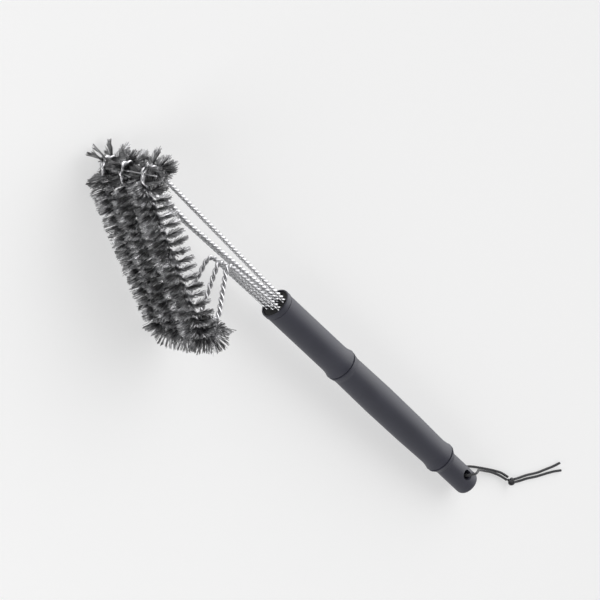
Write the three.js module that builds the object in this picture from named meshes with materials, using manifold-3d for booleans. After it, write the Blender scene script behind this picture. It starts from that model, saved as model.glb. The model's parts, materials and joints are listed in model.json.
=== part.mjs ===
// Grill cleaning brush: a cane-style handle, three twisted-wire loops with bristles, a cross wire and a lanyard.
//
// The brush is drawn in its own axes, in millimetres: the middle of the handle's mouth is the origin, X runs out
// of the mouth to the head, Y points to the bristle side, and Z runs across the three loops. The last section lays
// it on its side, as it rests on a table, with the table's surface at Z = 0.

import * as THREE from 'three';
import { mergeVertices } from 'three/addons/utils/BufferGeometryUtils.js';
import Module from 'manifold-3d';

const wasm = await Module();
wasm.setup();

const CLEARANCE = 0.3;

// Twisted wires: two strands lie side by side, so a twisted wire is as thick as both
const STRAND_DIAMETER = 2.25;
const WIRE_RADIUS = STRAND_DIAMETER;
const WIRE_SIDES = 6;
const WIRE_STEP = 6;

// Two rows of three wires in the plug: the stems below, the tails above
const ROW_GAP = 2.9;
const ROW_HEIGHT = WIRE_RADIUS + ROW_GAP / 2;
const MOUTH_GAP = 2.7;
const MOUTH_SPACING = 2 * WIRE_RADIUS + MOUTH_GAP;

// Plug in the mouth
const PLUG_WALL = 1.25;
const CAVITY_RADIUS = Math.hypot(ROW_HEIGHT, MOUTH_SPACING) + WIRE_RADIUS + PLUG_WALL;
const PLUG_RECESS = 0.8;
const WIRE_DEPTH = 36;
const PLUG_FLOOR = 6.8;
const PLUG_LENGTH = WIRE_DEPTH + PLUG_FLOOR - PLUG_RECESS;

// Handle: each node stands proud of the stretch before it
const HANDLE_LENGTH = 250.5;
const HANDLE_WALL = 0.9;
const GRIP_RADIUS = CAVITY_RADIUS + HANDLE_WALL;
const LIP_RISE = 0.5;
const MOUTH_RADIUS = GRIP_RADIUS + LIP_RISE;
const MOUTH_EDGE = 1.2;
const LIP_LENGTH = 4.5;
const LIP_STEP = 0.45;
const BELLY_RISE = 0.5;
const BELLY_RADIUS = GRIP_RADIUS + BELLY_RISE;
const NECK_RADIUS = 11.8;
const TAIL_RADIUS = 9.9;
const TAIL_LENGTH = 39;
const BUTT_ROUNDING = 4;
const HANDLE_SIDES = 28;
const FIRST_NODE = { at: 83.5, rise: 1.4 };
const SECOND_NODE = { at: HANDLE_LENGTH - TAIL_LENGTH, rise: 1.2 };
const NODE_FLARE = 8;
const NODE_BAND = 5;
const GROOVE_DEPTH = 0.8;
const GROOVE_WIDTH = 0.9;

// Lanyard hole, from the butt
const HOLE_INSET = 13;
const HOLE_RADIUS = 3.8;
const HOLE_TURN = THREE.MathUtils.degToRad(8);

// Loops
const TIP_X = 186.5;
const TIP_SPACING = 24;
const TURN_SPACING = 19.5;
const HAIRPIN_RADIUS = 7.2;
const RUN_ANGLE = THREE.MathUtils.degToRad(26);
const LEG_X = 46;
const TURN_RADIUS = 10;
const KNEE_X = 54;
const KNEE_HEIGHT = 46;
const KNEE_SPACING = 18;
const KNEE_RADIUS = 20;
const JUNCTION_HEIGHT = 5;
const JUNCTION_GAP = 0.7;
const JUNCTION_SPACING = 2 * WIRE_RADIUS + JUNCTION_GAP;
const JUNCTION_RADIUS = 5;

// Each loop's own place: its side at the mouth, its lean outwards at the tip, how far it reaches past TIP_X, where
// its leg bends into its tail, and where and how far its stem bows
const LOOPS = [
  { name: 'right', place: 1, lean: 1, reach: 0, bendX: 62, bowX: 60, bow: 0 },
  { name: 'middle', place: 0, lean: 0, reach: 3, bendX: 66.5, bowX: 105, bow: 4.5 },
  { name: 'left', place: -1, lean: -0.72, reach: 8, bendX: 73, bowX: 60, bow: 0 },
];

// Bristles
const BRISTLE_RADIUS = 15;
const BRISTLE_SIDES = 12;
const BRISTLED_STEM = 17;
const BRISTLED_LEG = 6;

// Cross wire through the hairpins
const CROSS_RADIUS = 0.6;
const CROSS_ANGLE = THREE.MathUtils.degToRad(25);
const CROSS_ENDS = { right: 11, left: 6 };

// Table under the brush
const TAIL_LIFT = 1.3;

// Lanyard, on the table
const CORD_RADIUS = 1;
const CORD_SIDES = 8;
const CORD_STEP = 3.5;
const KNOT_RADIUS = 3.6;

const finish = (color, roughness, metalness) => new THREE.MeshStandardMaterial({ color, roughness, metalness });
const handlePlastic = finish(0x4b4c56, 0.5, 0);
const plugPlastic = finish(0x1c1b1f, 0.6, 0);
const steelWire = finish(0xc9cacf, 0.25, 1);
const bristleSteel = finish(0x6c6d72, 0.35, 1);
const cordFabric = finish(0x2b2b2f, 0.9, 0);

// ---- Shapes ----

const point = (x, y, z) => new THREE.Vector3(x, y, z);

/** A circle of straight sides, as an outline to sweep. */
function circle(radius, sides) {
  const corners = Array.from({ length: sides }, (_, i) => {
    const angle = ((i + 0.5) / sides) * 2 * Math.PI;
    return new THREE.Vector2(Math.cos(angle), Math.sin(angle)).multiplyScalar(radius);
  });
  return new THREE.Shape(corners);
}

/** A round tube along points, in steps of about the given length. */
function tube(points, radius, sides, step) {
  const path = new THREE.CatmullRomCurve3(points);
  const steps = Math.ceil(path.getLength() / step);
  return new THREE.ExtrudeGeometry(circle(radius, sides), { steps, extrudePath: path });
}

/** A three.js geometry as a solid that can be joined and cut. */
function solid(geometry) {
  const bare = new THREE.BufferGeometry();
  bare.setAttribute('position', geometry.getAttribute('position').clone());
  if (geometry.index) bare.setIndex(geometry.index.clone());
  const merged = mergeVertices(bare, 1e-4);
  const vertProperties = new Float32Array(merged.getAttribute('position').array);
  const triVerts = new Uint32Array(merged.index.array);
  return new wasm.Manifold(new wasm.Mesh({ numProp: 3, vertProperties, triVerts }));
}

/** The geometry of a joined or cut solid. */
function geometryOf(body) {
  const mesh = body.getMesh();
  const geometry = new THREE.BufferGeometry();
  geometry.setAttribute('position', new THREE.BufferAttribute(new Float32Array(mesh.vertProperties), 3));
  geometry.setIndex(new THREE.BufferAttribute(new Uint32Array(mesh.triVerts), 1));
  geometry.computeVertexNormals();
  return geometry;
}

function piece(name, geometry, material) {
  const mesh = new THREE.Mesh(geometry, material);
  mesh.name = name;
  return mesh;
}

/** A cylinder between two points, with round ends of the same radius. */
function capsule(from, to, radius, sides) {
  const along = to.clone().sub(from);
  const geometry = new THREE.CapsuleGeometry(radius, along.length(), 3, sides);
  const turn = new THREE.Quaternion().setFromUnitVectors(point(0, 1, 0), along.clone().normalize());
  return geometry.applyQuaternion(turn).translate(...from.clone().add(to).divideScalar(2).toArray());
}

// ---- Handle ----

/** The outline of one cane node: a flare up to a sharp lip, a groove, and a band that falls to the next stretch. */
function nodeOutline(node, before, after) {
  const lip = before + node.rise;
  const groove = node.at + GROOVE_WIDTH;
  return [
    [node.at - NODE_FLARE, before],
    [node.at - NODE_FLARE / 3, (before + lip) / 2 - 0.2],
    [node.at, lip],
    [node.at + 0.2, lip - GROOVE_DEPTH],
    [groove, lip - GROOVE_DEPTH],
    [groove + 0.2, lip - 0.2],
    [groove + NODE_BAND - 1, (lip + after) / 2],
    [groove + NODE_BAND, after],
  ];
}

/** The handle's outside, from the butt to the mouth, as distances from the mouth and radii. */
function handleOutline() {
  const rounding = [];
  for (let i = 0; i <= 4; i++) {
    const angle = (i / 4) * (Math.PI / 2);
    rounding.push([
      HANDLE_LENGTH - BUTT_ROUNDING * (1 - Math.cos(angle)),
      TAIL_RADIUS - BUTT_ROUNDING * (1 - Math.sin(angle)),
    ]);
  }
  const belly = (FIRST_NODE.at + SECOND_NODE.at) / 2 - 15;
  const fromMouth = [
    [0, MOUTH_RADIUS - MOUTH_EDGE / 2],
    [MOUTH_EDGE / 2, MOUTH_RADIUS],
    [LIP_LENGTH, MOUTH_RADIUS],
    [LIP_LENGTH + LIP_STEP, GRIP_RADIUS],
    ...nodeOutline(FIRST_NODE, GRIP_RADIUS, GRIP_RADIUS),
    [belly, BELLY_RADIUS],
    [(belly + SECOND_NODE.at) / 2, (BELLY_RADIUS + NECK_RADIUS) / 2 + 0.2],
    ...nodeOutline(SECOND_NODE, NECK_RADIUS, TAIL_RADIUS),
  ];
  return [...rounding, ...fromMouth.reverse()];
}

function handleGrip() {
  const profile = [
    [HANDLE_LENGTH, 0],
    ...handleOutline(),
    [0, CAVITY_RADIUS],
    [PLUG_RECESS + PLUG_LENGTH + CLEARANCE, CAVITY_RADIUS],
    [PLUG_RECESS + PLUG_LENGTH + CLEARANCE, 0],
  ];
  // The outline turns about Y, whose far end then becomes the butt.
  const points = profile.map(([along, radius]) => new THREE.Vector2(radius, along)).reverse();
  const turned = new THREE.LatheGeometry(points, HANDLE_SIDES).rotateZ(Math.PI / 2);
  const hole = new THREE.CylinderGeometry(HOLE_RADIUS, HOLE_RADIUS, 4 * TAIL_RADIUS, 20);
  hole.rotateX(Math.PI / 2 + HOLE_TURN).translate(HOLE_INSET - HANDLE_LENGTH, 0, 0);
  return solid(turned).subtract(solid(hole));
}

// ---- Loops ----

/** A polyline through corners, each rounded to its own radius, in steps of about 3 mm. */
function rounded(corners) {
  const points = [];
  let from = corners[0].at;
  const addLine = (to) => {
    const count = Math.max(1, Math.round(from.distanceTo(to) / 3));
    for (let i = 0; i < count; i++) points.push(from.clone().lerp(to, i / count));
    from = to;
  };
  for (let i = 1; i < corners.length - 1; i++) {
    const { at, radius } = corners[i];
    const into = at.clone().sub(corners[i - 1].at).normalize();
    const out = corners[i + 1].at.clone().sub(at).normalize();
    const turn = into.angleTo(out);
    const start = at.clone().addScaledVector(into, -radius * Math.tan(turn / 2));
    const end = at.clone().addScaledVector(out, radius * Math.tan(turn / 2));
    const pull = (4 / 3) * Math.tan(turn / 4) * radius;
    const arc = new THREE.CubicBezierCurve3(
      start,
      start.clone().addScaledVector(into, pull),
      end.clone().addScaledVector(out, -pull),
      end,
    );
    addLine(start);
    points.push(...arc.getPoints(Math.max(1, Math.round((turn * radius) / 3))).slice(0, -1));
    from = end;
  }
  addLine(corners.at(-1).at);
  points.push(from);
  return points;
}

/** The corners of one loop, from the end of its stem in the plug round to the end of its tail. */
function loopCorners(loop, extra) {
  const inPlug = -WIRE_DEPTH - extra;
  const tip = TIP_X + loop.reach;
  const legX = LEG_X + loop.reach;
  const secondTurn = Math.PI / 2 - RUN_ANGLE;
  const hairpin = HAIRPIN_RADIUS * (1 + Math.tan(secondTurn / 2));
  const tipZ = loop.lean * TIP_SPACING;
  const runTop = point(tip, hairpin - ROW_HEIGHT, tipZ);
  const runBottom = point(
    legX,
    runTop.y + (tip - legX) * Math.tan(RUN_ANGLE),
    loop.lean * TURN_SPACING,
  );
  const mouthZ = loop.place * MOUTH_SPACING;
  const stemZ = mouthZ + ((tipZ - mouthZ) * loop.bowX) / tip;
  return {
    stemEnd: { at: point(inPlug, -ROW_HEIGHT, mouthZ) },
    stemMouth: { at: point(1, -ROW_HEIGHT, mouthZ), radius: 60 },
    stemBow: { at: point(loop.bowX, loop.bow - ROW_HEIGHT, stemZ), radius: 120 },
    tip: { at: point(tip, -ROW_HEIGHT, tipZ), radius: HAIRPIN_RADIUS - 0.05 },
    runTop: { at: runTop, radius: HAIRPIN_RADIUS - 0.05 },
    runBottom: { at: runBottom, radius: TURN_RADIUS },
    knee: {
      at: point(KNEE_X + loop.reach, KNEE_HEIGHT, loop.place * KNEE_SPACING),
      radius: KNEE_RADIUS,
    },
    junction: {
      at: point(loop.bendX, JUNCTION_HEIGHT, loop.place * JUNCTION_SPACING),
      radius: JUNCTION_RADIUS,
    },
    tailMouth: { at: point(1, ROW_HEIGHT, mouthZ), radius: 60 },
    tailEnd: { at: point(inPlug, ROW_HEIGHT, mouthZ) },
  };
}

function twistedWire(loop) {
  return tube(rounded(Object.values(loopCorners(loop, 0))), WIRE_RADIUS, WIRE_SIDES, WIRE_STEP);
}

/** The space that a loop's wire needs in the pieces that it passes through. */
function wireTunnel(loop) {
  const corners = Object.values(loopCorners(loop, CLEARANCE));
  const radius = WIRE_RADIUS + 1.5 * CLEARANCE;
  return solid(tube(rounded(corners), radius, WIRE_SIDES, WIRE_STEP));
}

// ---- Plug ----

function wirePlug(tunnels) {
  const body = new THREE.CylinderGeometry(
    CAVITY_RADIUS - CLEARANCE,
    CAVITY_RADIUS - CLEARANCE,
    PLUG_LENGTH,
    HANDLE_SIDES,
  );
  body.rotateZ(Math.PI / 2).translate(-PLUG_RECESS - PLUG_LENGTH / 2, 0, 0);
  return tunnels.reduce((plug, tunnel) => plug.subtract(tunnel), solid(body));
}

// ---- Cross wire ----

/** Where the cross wire lies inside one loop's hairpin. */
function crossPoint(loop) {
  const { tip } = loopCorners(loop, 0);
  const inner = HAIRPIN_RADIUS - WIRE_RADIUS - CROSS_RADIUS - 2 * CLEARANCE;
  return point(
    tip.at.x - HAIRPIN_RADIUS + inner * Math.cos(CROSS_ANGLE),
    tip.at.y + HAIRPIN_RADIUS + inner * Math.sin(CROSS_ANGLE),
    tip.at.z,
  );
}

function crossWirePoints() {
  const [right, middle, left] = LOOPS.map(crossPoint);
  const beyond = (end, next, length) => end.clone().add(end.clone().sub(next).setLength(length));
  return [
    beyond(right, middle, CROSS_ENDS.right),
    right,
    middle,
    left,
    beyond(left, middle, CROSS_ENDS.left),
  ];
}

// ---- Bristles ----

/** The middle line of one loop's bristles: the last of the stem, the hairpin, the run and the turn. */
function bristleLine(loop) {
  const { stemBow, tip, runTop, runBottom, knee } = loopCorners(loop, 0);
  const stem = stemBow.at.clone().sub(tip.at).normalize();
  const run = runBottom.at.clone().sub(runTop.at).normalize();
  const leg = knee.at.clone().sub(runBottom.at).normalize();
  const turnLength = TURN_RADIUS * Math.tan((Math.PI / 2 + RUN_ANGLE) / 2);
  return [
    tip.at.clone().addScaledVector(stem, BRISTLED_STEM),
    tip.at.clone().add(point(-HAIRPIN_RADIUS / 2, HAIRPIN_RADIUS / 3, 0)),
    runTop.at.clone().addScaledVector(run, HAIRPIN_RADIUS / 2),
    runBottom.at.clone().addScaledVector(run, -turnLength),
    runBottom.at.clone().addScaledVector(run, -turnLength / 2.5).addScaledVector(leg, turnLength / 2.5),
    runBottom.at.clone().addScaledVector(leg, turnLength + BRISTLED_LEG),
  ];
}

/** The plane half way between two neighbouring loops: a point on it and its normal, towards the first loop. */
function between(loop, neighbour) {
  const [a, b] = [bristleLine(loop), bristleLine(neighbour)];
  const top = a[2].clone().add(b[2]).divideScalar(2);
  const bottom = a[3].clone().add(b[3]).divideScalar(2);
  const along = bottom.sub(top).normalize();
  const normal = along.cross(point(0, 1, 0)).normalize();
  normal.multiplyScalar(Math.sign(normal.dot(a[2].clone().sub(b[2]))));
  return { top, normal };
}

function bristleBundle(loop, tunnels, crossTunnel) {
  const line = bristleLine(loop);
  let bundle = null;
  for (let i = 1; i < line.length; i++) {
    const stretch = solid(capsule(line[i - 1], line[i], BRISTLE_RADIUS, BRISTLE_SIDES));
    bundle = bundle ? bundle.add(stretch) : stretch;
  }
  for (const neighbour of LOOPS) {
    if (Math.abs(neighbour.place - loop.place) !== 1) continue;
    const { top, normal } = between(loop, neighbour);
    bundle = bundle.trimByPlane(normal.toArray(), normal.dot(top) + CLEARANCE / 2);
  }
  for (const tunnel of [...tunnels, crossTunnel]) bundle = bundle.subtract(tunnel);
  return bundle;
}

// ---- Lanyard ----

// Each route is where the cord lies on the table: the two strands start inside the handle's hole and meet at the
// knot, and the two tails leave the knot.
const UPPER_ROUTE = [
  [-215.4, -32.5, 13.13], [-215.5, -33, 15.45], [-215.6, -33.5, 17.65], [-215.6, -34, 19.65],
  [-215.6, -34.3, 21.35], [-215.7, -34.6, 22.66], [-216.2, -35.2, 23.83], [-216.9, -36, 24.71],
  [-217.7, -37.1, 25.21], [-218.6, -38.2, 25.35], [-219.6, -39.2, 25.07], [-220.4, -40.2, 24.43],
  [-223.4, -43.2, 20.24], [-225.6, -44.9, 16.7], [-227.9, -46.3, 13.06], [-230.6, -47.7, 9.62],
  [-234.5, -49.7, 6.19], [-239.5, -52.1, 3.85], [-245.3, -54.9, 2.71], [-251.8, -57.1, 2.28],
  [-256.8, -58.2, 2.44], [-261.5, -58.8, 2.9],
];
const LOWER_ROUTE = [
  [-215.4, -32.2, 12.6], [-215.3, -31.4, 11.3], [-214.8, -30.2, 9.9], [-214.2, -28.9, 8.2],
  [-214.1, -28.4, 6.2], [-214.3, -28.6, 4.38], [-214.7, -29.4, 2.62], [-215.4, -30.8, 1.46],
  [-216.2, -32.3, 1.05], [-217.7, -35.5, 1.05], [-219.7, -39.6, 1.05], [-222.2, -42.6, 1.05],
  [-225.7, -46.2, 1.05], [-230.6, -49.3, 1.05], [-236.2, -52.2, 1.05], [-242.2, -55.2, 1.05],
  [-248.2, -58, 1.15], [-254.6, -60.4, 1.6], [-261.4, -61.3, 2.6],
];
const TAIL_A_ROUTE = [
  [-267.6, -63.5, 2.2], [-269.9, -65.7, 1.46], [-272, -68.1, 1.11], [-274, -70.7, 1.05],
  [-276.1, -73.2, 1.05], [-278.3, -75.6, 1.05], [-280.6, -77.9, 1.05], [-282.8, -80.3, 1.05],
  [-284.8, -82.8, 1.05], [-286.7, -85.5, 1.05], [-288.6, -88.1, 1.05], [-290.5, -90.7, 1.05],
  [-292.4, -93.4, 1.05], [-294.1, -96.2, 1.05], [-295.7, -99, 1.05],
];
const TAIL_B_ROUTE = [
  [-269.3, -61.8, 2.2], [-271.7, -64, 1.46], [-273.9, -66.3, 1.11], [-276, -68.9, 1.05],
  [-278.1, -71.4, 1.05], [-280.4, -73.7, 1.05], [-282.7, -76, 1.05], [-285, -78.4, 1.05],
  [-287.1, -80.9, 1.05], [-289.2, -83.4, 1.05], [-291.3, -85.9, 1.05], [-293.5, -88.3, 1.05],
  [-295.7, -90.7, 1.05], [-298.1, -92.9, 1.05], [-300.6, -95.1, 1.05],
];
const KNOT_CENTRE = [-265.4, -60.1, 3.75];

function cord(route) {
  return tube(route.map((place) => point(...place)), CORD_RADIUS, CORD_SIDES, CORD_STEP);
}

// ---- The brush in its own axes ----

const tunnels = LOOPS.map(wireTunnel);
const crossTunnel = solid(tube(crossWirePoints(), CROSS_RADIUS + CLEARANCE, WIRE_SIDES, 4));

const brush = new THREE.Group();
brush.add(piece('handle_grip', geometryOf(handleGrip()), handlePlastic));
brush.add(piece('wire_plug', geometryOf(wirePlug(tunnels)), plugPlastic));
for (const loop of LOOPS) {
  brush.add(piece(`twisted_wire_${loop.name}`, twistedWire(loop), steelWire));
  const bundle = bristleBundle(loop, tunnels, crossTunnel);
  brush.add(piece(`bristles_${loop.name}`, geometryOf(bundle), bristleSteel));
}
brush.add(piece('cross_wire', tube(crossWirePoints(), CROSS_RADIUS, WIRE_SIDES, 4), steelWire));

// ---- Laid on its side ----

/** The table's normal in the brush's axes: it touches the lowest bristles at both ends of their run, and the tail. */
function tableNormal() {
  const line = bristleLine(LOOPS.at(-1));
  const along = line.at(-1).clone().sub(line[2]).normalize();
  const across = along.clone().cross(point(0, 0, 1)).normalize();
  const up = across.clone().cross(along).normalize();
  const toTail = point(BUTT_ROUNDING - HANDLE_LENGTH, 0, 0).sub(line[2]);
  const rise = TAIL_RADIUS + TAIL_LIFT - BRISTLE_RADIUS;
  const [a, b] = [toTail.dot(up), toTail.dot(across)];
  const turn = Math.atan2(b, a) + Math.acos(rise / Math.hypot(a, b));
  return up.multiplyScalar(Math.cos(turn)).addScaledVector(across, Math.sin(turn));
}

const normal = tableNormal();
const forward = point(1, 0, 0).addScaledVector(normal, -normal.x).normalize();
const sideways = normal.clone().cross(forward);
const lying = new THREE.Matrix4().makeBasis(forward, sideways, normal).transpose();
brush.quaternion.setFromRotationMatrix(lying);
brush.updateMatrixWorld(true);
const box = new THREE.Box3().setFromObject(brush, true);
brush.position.set(-(box.min.x + box.max.x) / 2, -(box.min.y + box.max.y) / 2, -box.min.z);

const knot = new THREE.IcosahedronGeometry(KNOT_RADIUS, 2).translate(...KNOT_CENTRE);

const group = new THREE.Group();
group.add(brush);
group.add(piece('lanyard_upper', cord(UPPER_ROUTE), cordFabric));
group.add(piece('lanyard_lower', cord(LOWER_ROUTE), cordFabric));
group.add(piece('lanyard_knot', knot, cordFabric));
group.add(piece('lanyard_tail_a', cord(TAIL_A_ROUTE), cordFabric));
group.add(piece('lanyard_tail_b', cord(TAIL_B_ROUTE), cordFabric));

export default group;
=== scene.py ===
"""Grill cleaning brush: a cane-style handle, three twisted-wire loops of bristles and a knotted lanyard.

The brush is drawn in its own axes, in metres: the middle of the handle's mouth is the origin, X runs out of
the mouth to the head, Y points to the bristle side, and Z runs across the three loops. Each piece is modelled
there and then laid on the table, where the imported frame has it.
"""

import json
import math

import bpy
import numpy as np
from bpy.props import FloatProperty, FloatVectorProperty, IntProperty, PointerProperty
from mathutils import Matrix, Quaternion, Vector


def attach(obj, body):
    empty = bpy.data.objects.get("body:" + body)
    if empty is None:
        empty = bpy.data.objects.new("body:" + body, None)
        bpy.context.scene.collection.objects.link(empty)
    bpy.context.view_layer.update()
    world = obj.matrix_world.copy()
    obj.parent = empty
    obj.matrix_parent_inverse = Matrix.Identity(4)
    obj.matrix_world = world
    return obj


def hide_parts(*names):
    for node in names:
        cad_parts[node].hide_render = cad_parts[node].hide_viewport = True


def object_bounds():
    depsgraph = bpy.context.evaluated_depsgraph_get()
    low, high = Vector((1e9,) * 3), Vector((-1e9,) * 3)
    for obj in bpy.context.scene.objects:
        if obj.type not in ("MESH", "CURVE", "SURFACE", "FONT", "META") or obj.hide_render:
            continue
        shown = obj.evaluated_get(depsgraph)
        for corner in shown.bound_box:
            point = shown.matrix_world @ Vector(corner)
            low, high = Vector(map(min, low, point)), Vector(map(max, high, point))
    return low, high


bl_info = {
    "name": "Grill Brush",
    "version": (1, 0, 0),
    "blender": (4, 5, 0),
    "location": "3D View > Sidebar > Grill Brush",
    "description": "Builds a twisted-wire grill brush around its packed frame",
    "category": "Add Mesh",
}

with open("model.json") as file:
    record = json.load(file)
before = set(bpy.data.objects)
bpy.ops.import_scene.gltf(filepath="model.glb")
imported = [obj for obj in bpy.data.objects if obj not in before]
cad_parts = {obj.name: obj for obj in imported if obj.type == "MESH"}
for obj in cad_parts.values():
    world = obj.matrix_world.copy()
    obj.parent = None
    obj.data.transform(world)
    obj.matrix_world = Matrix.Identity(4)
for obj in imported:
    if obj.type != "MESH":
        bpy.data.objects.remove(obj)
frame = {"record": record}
CAD_LOW, CAD_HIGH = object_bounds()
MM = 0.001


# ---- The brush's own axes ----

BUTT = frame["record"]["mounts"][0]
AXIAL_ROLL = math.radians(6.912)


def lay_matrix(handle_length):
    """The matrix that lays the brush on the table: along its butt's axis, and rolled a little."""
    forward = -Vector(BUTT["axis"]).normalized()
    rise = (Vector((0, 0, 1)) - forward * forward.z).normalized()
    side = rise.cross(forward)
    y_axis = side * math.cos(AXIAL_ROLL) + rise * math.sin(AXIAL_ROLL)
    z_axis = forward.cross(y_axis)
    axes = Matrix((forward, y_axis, z_axis)).transposed().to_4x4()
    mouth = Vector(BUTT["pos_m"]) + forward * handle_length
    return Matrix.Translation(mouth) @ axes


# ---- Settings ----


def size(name, default, about):
    """A length in metres that a user can set."""
    return FloatProperty(name=name, description=about, default=default, unit="LENGTH", precision=5)


def plain(name, default, about):
    """A plain number that a user can set."""
    return FloatProperty(name=name, description=about, default=default)


def watts(name, default, about):
    """The power of a light that a user can set."""
    return FloatProperty(name=name, description=about, default=default, subtype="POWER")


def whole(name, default, about):
    """A whole number, one or more, that a user can set."""
    return IntProperty(name=name, description=about, default=default, min=1)


def span(name, default, about):
    """Two ends between which something goes from dark to light."""
    return FloatVectorProperty(name=name, description=about, default=default, size=2)


def tint(name, default, about):
    """A colour that a user can set."""
    return FloatVectorProperty(name=name, description=about, default=default, subtype="COLOR", min=0, max=1)


def turn(name, degrees, about):
    """An angle that a user can set."""
    return FloatProperty(name=name, description=about, default=math.radians(degrees), unit="ROTATION")


class HandleSettings(bpy.types.PropertyGroup):
    """Sizes and colours of the handle and the plug in its mouth."""

    length: size("Length", 0.2505, "From the mouth to the butt")
    mouth_radius: size("Mouth radius", 0.013, "Radius of the raised lip at the mouth")
    lip_length: size("Lip length", 0.0045, "Length of the raised lip")
    grip_radius: size("Grip radius", 0.0125, "Radius from the mouth to the first node")
    belly_radius: size("Belly radius", 0.013, "Largest radius between the nodes")
    neck_radius: size("Neck radius", 0.0118, "Radius before the second node")
    tail_radius: size("Tail radius", 0.0099, "Radius of the thin end")
    butt_rounding: size("Butt rounding", 0.004, "Radius of the butt's rounded edge")
    first_node: size("First node", 0.0835, "From the mouth to the first node")
    first_rise: size("First node rise", 0.0014, "How far the first node stands proud")
    second_node: size("Second node", 0.2115, "From the mouth to the second node")
    second_rise: size("Second node rise", 0.0012, "How far the second node stands proud")
    groove_depth: size("Groove depth", 0.0013, "Depth of the groove behind each node")
    groove_width: size("Groove width", 0.0013, "Width of the groove behind each node")
    hole_inset: size("Hole inset", 0.013, "From the butt to the middle of the lanyard hole")
    hole_radius: size("Hole radius", 0.0038, "Radius of the lanyard hole")
    hole_turn: turn("Hole turn", 8, "How far the hole leans from straight across")
    cavity_radius: size("Cavity radius", 0.0116, "Radius of the hollow that holds the plug")
    plug_recess: size("Plug recess", 0.0008, "How deep the plug's face sits in the mouth")
    plug_length: size("Plug length", 0.042, "Length of the plug")
    colour: tint("Handle colour", (0.046, 0.047, 0.064), "Moulded plastic of the handle")
    plug_colour: tint("Plug colour", (0.008, 0.008, 0.009), "Moulded plastic of the plug")


class LoopSettings(bpy.types.PropertyGroup):
    """Sizes of the three twisted-wire loops and the cross wire."""

    strand_diameter: size("Strand diameter", 0.00225, "Each twisted wire is two of these strands")
    tight_pitch: size("Tight pitch", 0.00855, "Length of one whole turn on the stems and tails")
    bristled_pitch: size("Bristled pitch", 0.0154, "Length of one whole turn where bristles are held")
    leg_pitch: size("Leg pitch", 0.012, "Length of one whole turn on the bare legs")
    row_height: size("Row height", 0.0037, "Half the distance between the stems and the tails")
    mouth_spacing: size("Mouth spacing", 0.0072, "Distance between neighbouring wires at the mouth")
    wire_depth: size("Wire depth", 0.036, "How deep the wires go into the plug")
    tip: size("Tip", 0.1865, "From the mouth to the hairpins")
    tip_spacing: size("Tip spacing", 0.024, "Distance between the loops at the tip")
    turn_spacing: size("Turn spacing", 0.0195, "Distance between the loops at the round turn")
    hairpin_radius: size("Hairpin radius", 0.0072, "Radius of the bend at the tip")
    run_angle: turn("Run angle", 26, "Angle between the bristle run and the handle")
    leg: size("Leg", 0.046, "From the mouth to the corner of the round turn")
    turn_radius: size("Turn radius", 0.010, "Radius of the bend between run and leg")
    knee: size("Knee", 0.054, "From the mouth to where the legs start to lean together")
    knee_height: size("Knee height", 0.046, "Height at which the legs start to lean together")
    knee_spacing: size("Knee spacing", 0.018, "Distance between the legs at the knee")
    junction_height: size("Junction height", 0.005, "Height of that bend above the handle's axis")
    junction_spacing: size("Junction spacing", 0.0052, "Distance between the wires at that bend")
    cross_radius: size("Cross wire radius", 0.0006, "Radius of the wire through the hairpins")
    cross_angle: turn("Cross wire angle", 25, "Where the cross wire lies in the hairpins")
    cross_end_right: size("Right end", 0.011, "How far the cross wire stands out past the right loop")
    cross_end_left: size("Left end", 0.006, "How far the cross wire stands out past the left loop")
    colour: tint("Steel colour", (0.72, 0.72, 0.735), "Bright drawn wire")


class BristleSettings(bpy.types.PropertyGroup):
    """Sizes and numbers of the bristles."""

    diameter: size("Bristle diameter", 0.00034, "Thickness of one bristle")
    reach: size("Reach", 0.0144, "From the wire's middle to the bristles' tips")
    tuft_step: size("Tuft step", 0.0009, "Distance between neighbouring tufts along the wire")
    clump_count: whole("Clumps", 6, "Clumps of bristles in one tuft")
    clump_size: whole("Clump size", 5, "Bristles in one clump")
    stem_length: size("Bristled stem", 0.019, "How much of the stem's end holds bristles")
    leg_length: size("Bristled leg", 0.002, "How much of the leg after the turn holds bristles")
    spread: turn("Spread", 5.5, "How far the clumps of a tuft spread round the wire")
    tilt: turn("Tilt", 1.7, "How far the clumps of a tuft tilt along the wire")
    looseness: turn("Looseness", 0.7, "How far the bristles of a clump spread")
    wander: turn("Wander", 4.5, "How far the rows of tufts lean to and fro")
    seed: whole("Seed", 7, "Start of the random lean of the bristles")
    colour: tint("Bristle colour", (0.5, 0.5, 0.51), "Fine spring steel")


class LanyardSettings(bpy.types.PropertyGroup):
    """Sizes and colour of the lanyard."""

    diameter: size("Cord diameter", 0.002, "Thickness of the braided cord")
    knot_radius: size("Knot radius", 0.0036, "Radius of the tied knot")
    colour: tint("Cord colour", (0.022, 0.022, 0.026), "Waxed black braid")


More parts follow.
